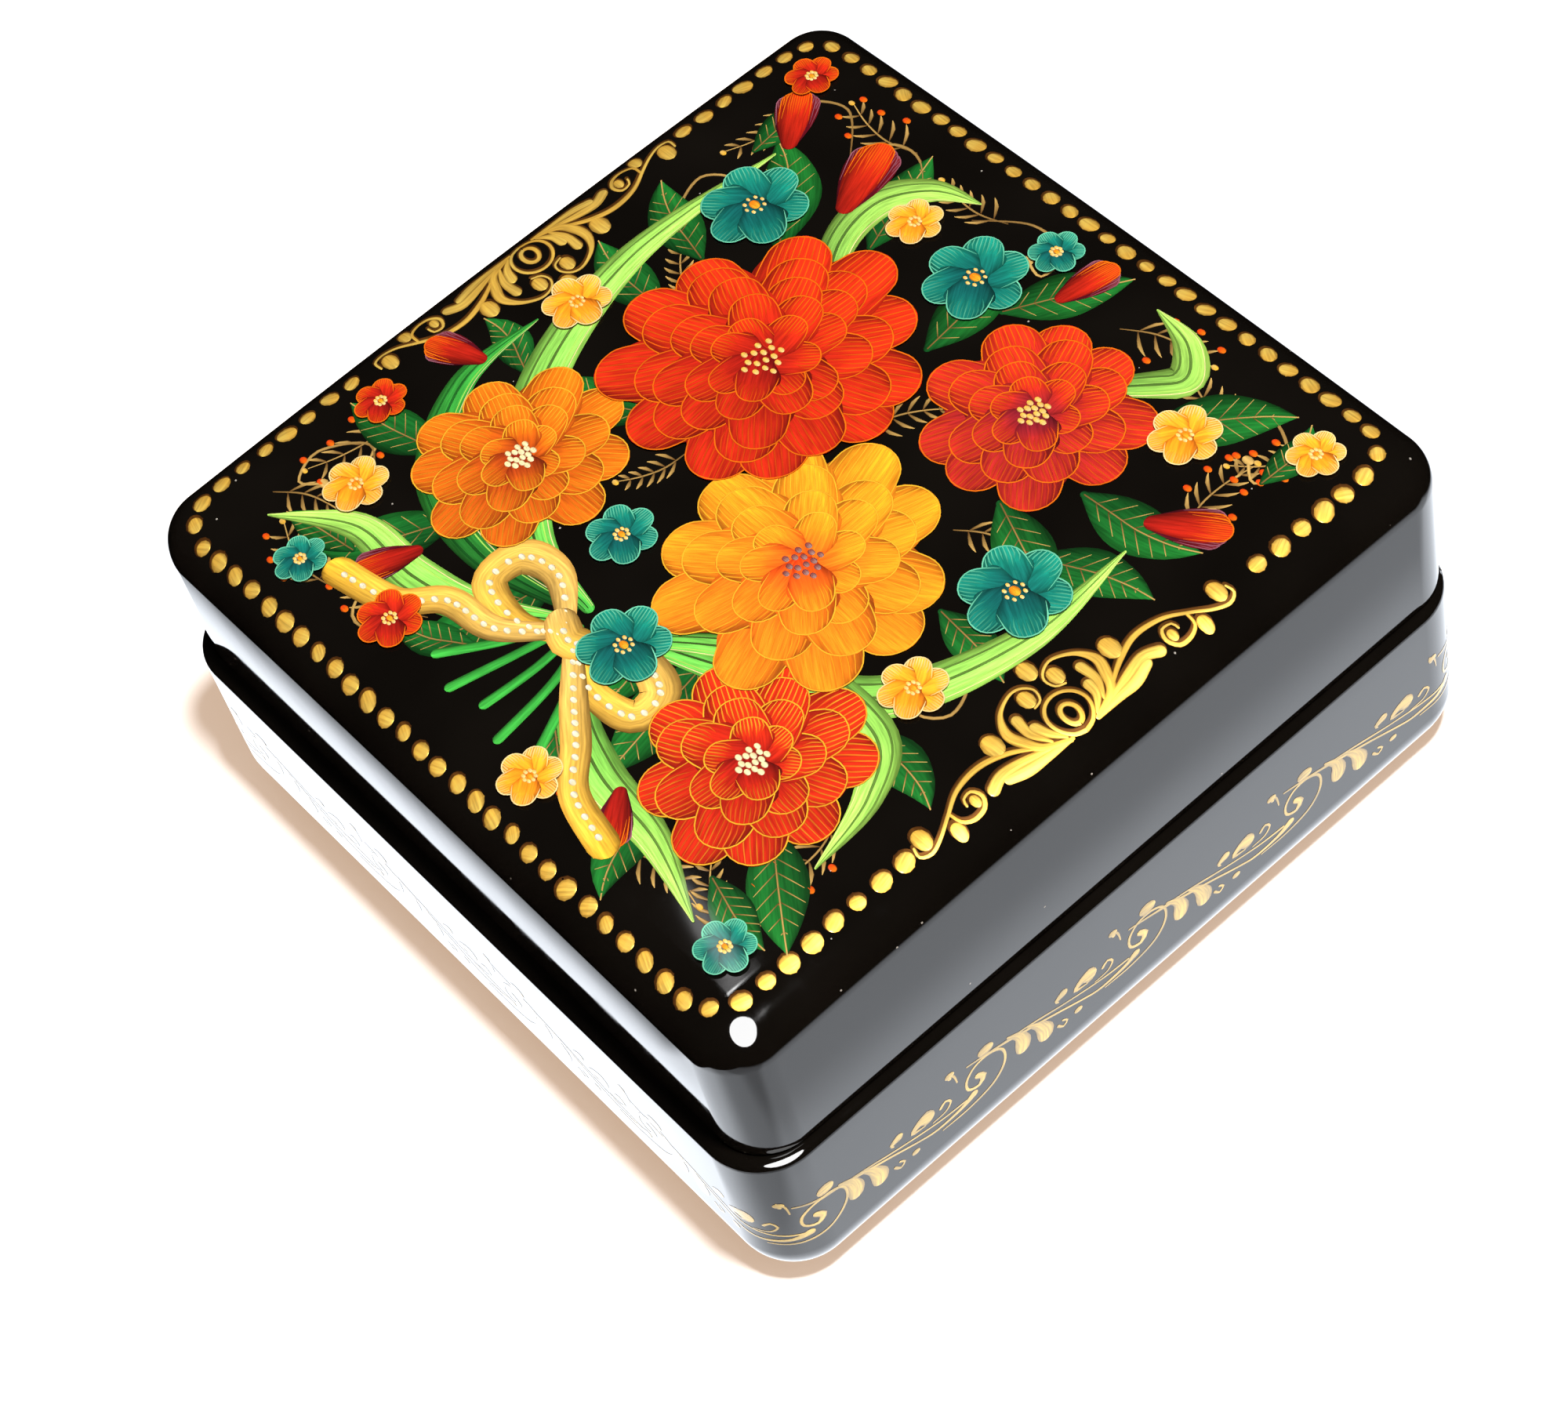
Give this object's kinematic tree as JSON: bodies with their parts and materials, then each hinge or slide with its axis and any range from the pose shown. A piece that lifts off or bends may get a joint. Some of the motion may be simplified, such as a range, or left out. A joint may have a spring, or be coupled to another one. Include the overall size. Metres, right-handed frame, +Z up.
{
  "type": "hinged lacquer box",
  "caption": "Square lacquered box with rounded edges, a crowned painted lid on a pin hinge and a raised inner collar.",
  "frame": {"origin": "middle of the base's underside, on the surface that the box stands on", "axes": "+Z up, -Y towards the front, the hinge at +Y with its axis along X"},
  "size_m": [0.0918, 0.092, 0.0441],
  "materials": {
    "black_lacquer": "deep black gloss lacquer, painted and gilded outside",
    "red_lacquer": "vermilion gloss lacquer",
    "brass": "rolled sheet brass",
    "brass_wire": "drawn brass wire"
  },
  "bodies": {
    "base": {"base_wall": "black_lacquer", "base_bottom": "black_lacquer", "base_collar": "red_lacquer", "hinge_base_leaf": "brass", "hinge_base_brads": "brass_wire", "hinge_pin": "brass_wire"},
    "lid": {"lid_wall": "black_lacquer", "lid_top": "black_lacquer", "hinge_lid_leaf": "brass", "hinge_lid_brads": "brass_wire"}
  },
  "joints": [
    {"name": "lid_hinge", "type": "hinge", "parent": "base", "child": "lid", "pos_m": [0, 0.0448, 0.02305], "axis": [-1, 0, 0], "range_deg": [0, 100]}
  ]
}
